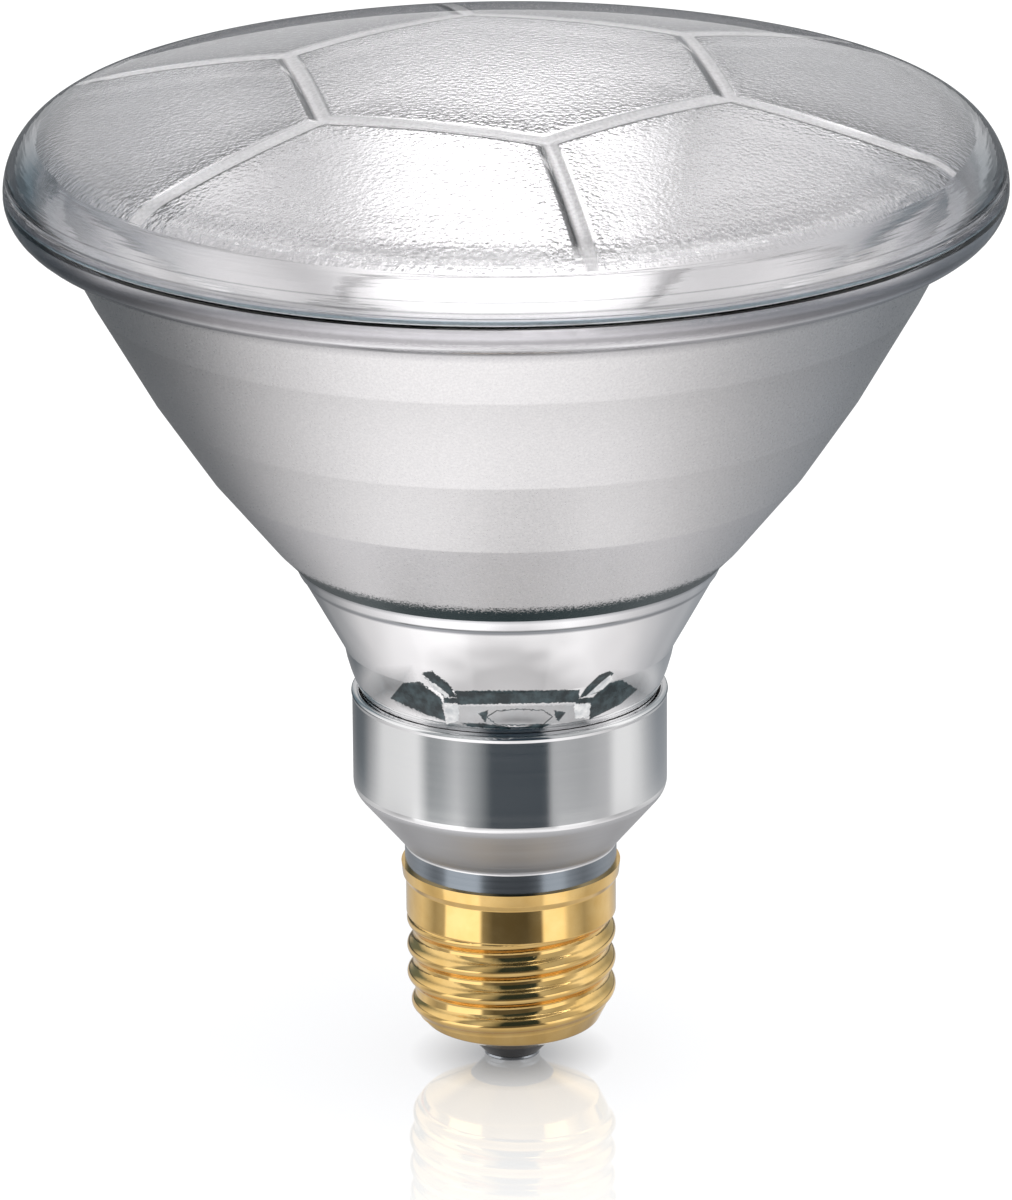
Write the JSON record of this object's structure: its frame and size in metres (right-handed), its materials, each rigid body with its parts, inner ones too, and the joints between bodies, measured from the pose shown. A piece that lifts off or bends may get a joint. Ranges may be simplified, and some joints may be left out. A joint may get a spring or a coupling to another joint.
{
  "type": "par spotlight bulb",
  "caption": "Parabolic reflector spotlight bulb with a domed, ribbed glass front lens, frosted stepped reflector, aluminium skirt and brass screw cap.",
  "frame": {"origin": "lowest point of the centre contact, on the lamp's axis", "axes": "+Z along the lamp's axis from the screw cap to the front lens, -Y towards the viewer of the picture"},
  "size_m": [0.122, 0.122, 0.1298],
  "materials": {
    "lens_glass": "clear outside, stippled inside",
    "bowl_glass": "mirrored inside, frosted bands outside, clear at the heel",
    "skirt_aluminium": "satin",
    "cement": "matt",
    "brass": "polished",
    "black_glass": "gloss",
    "contact_brass": "dull",
    "solder": "dull",
    "nickel_wire": "satin",
    "glass_fibre": "woven",
    "quartz": "clear",
    "tungsten": "satin",
    "ferrule_metal": "oxidised",
    "foil": "satin"
  },
  "bodies": {
    "root": {"front_lens": "lens_glass", "reflector_bowl": "bowl_glass", "skirt": "skirt_aluminium", "heel_cement": "cement", "screw_shell": "brass", "insulator": "black_glass", "centre_contact": "contact_brass", "contact_solder": "solder", "shell_solder": "solder", "contact_lead": "nickel_wire", "shell_lead": "nickel_wire", "fuse_sleeve": "glass_fibre", "burner_envelope": "quartz", "filament_coil": "tungsten", "ferrule_left": "ferrule_metal", "ferrule_right": "ferrule_metal", "burner_post_left": "nickel_wire", "burner_post_right": "nickel_wire", "burner_pin_left": "tungsten", "burner_pin_right": "tungsten", "sealing_foil_left": "foil", "sealing_foil_right": "foil", "inner_lead_left": "tungsten", "inner_lead_right": "tungsten"}
  },
  "joints": []
}
